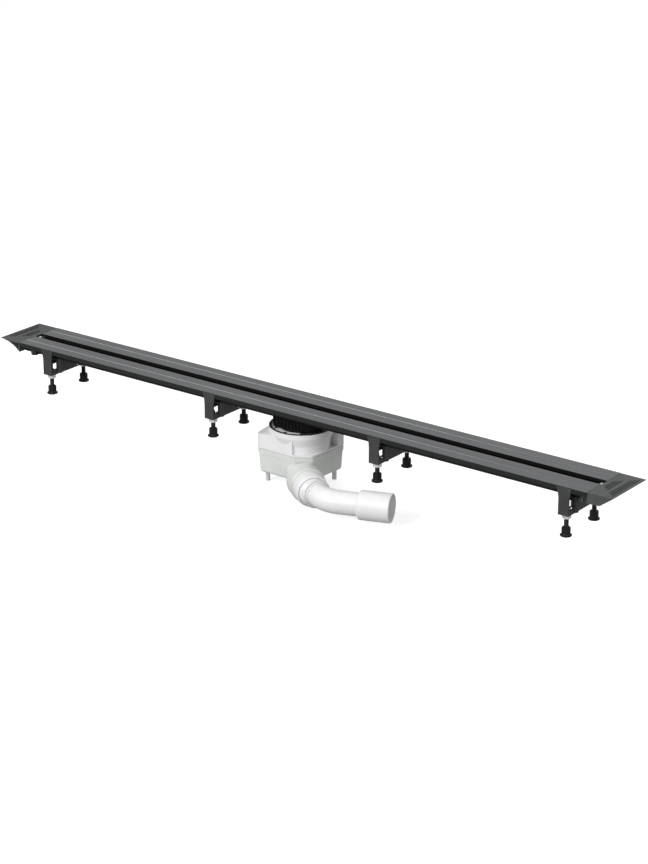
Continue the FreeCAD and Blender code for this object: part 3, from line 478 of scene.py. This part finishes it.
def studPieces():
    low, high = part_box("stud_1_front")
    length = high[2] - low[2]
    outer = (high[0] - low[0]) / 2
    mesh = cutSlot(threadedRod(outer, length), length)
    mesh.materials.clear()
    mesh.materials.append(finishes["dark_stud"])
    mesh.shade_flat()
    for number in (1, 2, 3, 4):
        for side in ("front", "rear"):
            key = "%d_%s" % (number, side)
            low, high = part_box("stud_" + key)
            piece = addPiece("thread_" + key, mesh.copy())
            piece.location = ((low[0] + high[0]) / 2, (low[1] + high[1]) / 2, low[2])
            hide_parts("stud_" + key)
            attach(piece, "foot_" + key)


studPieces()
print("threads made")

# The rolled bead where the pipe enters the spigot.
bead = {
    "beforeMiddle": 28.4 * mm, "radius": 20.15 * mm, "wire": 0.75 * mm, "sides": 72, "round": 10,
}


def beadCentre(mount, way):
    low, high = (Vector(corner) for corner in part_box("outlet_spigot"))
    axisPoint = Vector(mount["pos_m"])
    middle = axisPoint + way * (((low + high) / 2 - axisPoint).dot(way))
    return middle - way * bead["beforeMiddle"]


def pipeBead():
    mount = [m for m in record["mounts"] if m["name"] == "outlet_spigot"][0]
    way = Vector(mount["axis"]).normalized()
    centre = beadCentre(mount, way)
    upward = Vector((0, 0, 1))
    aside = way.cross(upward)
    shape = bmesh.new()
    rings = []
    for k in range(bead["sides"]):
        turn = 2 * math.pi * k / bead["sides"]
        out = aside * math.cos(turn) + upward * math.sin(turn)
        ring = []
        for n in range(bead["round"]):
            lean = 2 * math.pi * n / bead["round"]
            reach = out * (bead["radius"] + bead["wire"] * math.cos(lean))
            ring.append(shape.verts.new(centre + reach + way * (bead["wire"] * math.sin(lean))))
        rings.append(ring)
    for k, ring in enumerate(rings):
        joinRings(shape, ring, rings[(k + 1) % len(rings)])
    bmesh.ops.recalc_face_normals(shape, faces=shape.faces)
    mesh = meshFrom(shape, "pipeBead")
    mesh.materials.append(finishes["white_plastic"])
    mesh.shade_smooth()
    piece = addPiece("pipe_bead", mesh)
    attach(piece, "outlet_arm")


pipeBead()
print("bead made")

floorLook = {
    "size": 40.0, "gap": 0.5 * mm, "colour": (0.5, 0.5, 0.5, 1), "glow": 0.7, "roughness": 0.9,
}
skyLook = {"below": 0.34, "above": 0.5, "horizon": (-0.25, 0.1)}


def paleFloor():
    height = cadBox[0][2] - floorLook["gap"]
    bpy.ops.mesh.primitive_plane_add(size=floorLook["size"], location=(0, 0, height))
    floor = bpy.context.object
    floor.name = "floor"
    floor.visible_diffuse = False
    floor.visible_glossy = False
    material, _, shader = newMaterial("floorPaint", floorLook["roughness"])
    shader.inputs["Base Color"].default_value = floorLook["colour"]
    shader.inputs["Emission Color"].default_value = (1, 1, 1, 1)
    shader.inputs["Emission Strength"].default_value = floorLook["glow"]
    floor.data.materials.append(material)


def paleSky():
    world = bpy.data.worlds.new("studio")
    bpy.context.scene.world = world
    world.use_nodes = True
    tree = world.node_tree
    back = tree.nodes["Background"]
    place = addNode(tree, "ShaderNodeTexCoord")
    height = splitVector(tree, place.outputs["Generated"])[2]
    sky = ramp(tree, height, skyLook["below"], skyLook["above"], *skyLook["horizon"])
    tree.links.new(sky, back.inputs["Strength"])
    back.inputs["Color"].default_value = (1, 1, 1, 1)


studioLights = {
    "keyLight": {"place": (-0.8, -3.4, 2.2), "aim": (0, 0, 0.05), "size": 1.8, "power": 128.0},
    "fillLight": {"place": (3.6, -1.0, 1.2), "aim": (0.1, 0, 0.05), "size": 1.6, "power": 28.0},
    "backLight": {"place": (0.6, 3.2, 1.5), "aim": (0, 0, 0.05), "size": 1.6, "power": 26.0},
    "topLight": {"place": (0.0, 0.6, 3.2), "aim": (0, 0, 0.1), "size": 2.2, "power": 15.0},
}


def softLight(name, light):
    data = bpy.data.lights.new(name, "AREA")
    data.shape = "SQUARE"
    data.size = light["size"]
    data.energy = light["power"]
    lamp = bpy.data.objects.new(name, data)
    bpy.context.scene.collection.objects.link(lamp)
    lamp.location = light["place"]
    lamp.rotation_mode = "QUATERNION"
    way = Vector(light["aim"]) - Vector(light["place"])
    lamp.rotation_quaternion = way.to_track_quat("-Z", "Y")


paleFloor()
paleSky()
for lightName, light in studioLights.items():
    softLight(lightName, light)
print("floor and lights ready")

view = {
    "place": (2.4152, -3.1326, 1.5828), "tilt": 69.282, "turn": 37.083,
    "lens": 103.803, "sensor": 36.0, "far": 60.0,
}


def placeCamera():
    camera = bpy.data.cameras.new("camera")
    camera.lens = view["lens"]
    camera.sensor_width = view["sensor"]
    camera.clip_end = view["far"]
    stand = bpy.data.objects.new("camera", camera)
    bpy.context.scene.collection.objects.link(stand)
    stand.location = view["place"]
    stand.rotation_euler = (math.radians(view["tilt"]), 0.0, math.radians(view["turn"]))
    bpy.context.scene.camera = stand
    bpy.context.scene.view_settings.view_transform = "Standard"


placeCamera()
print("camera ready")
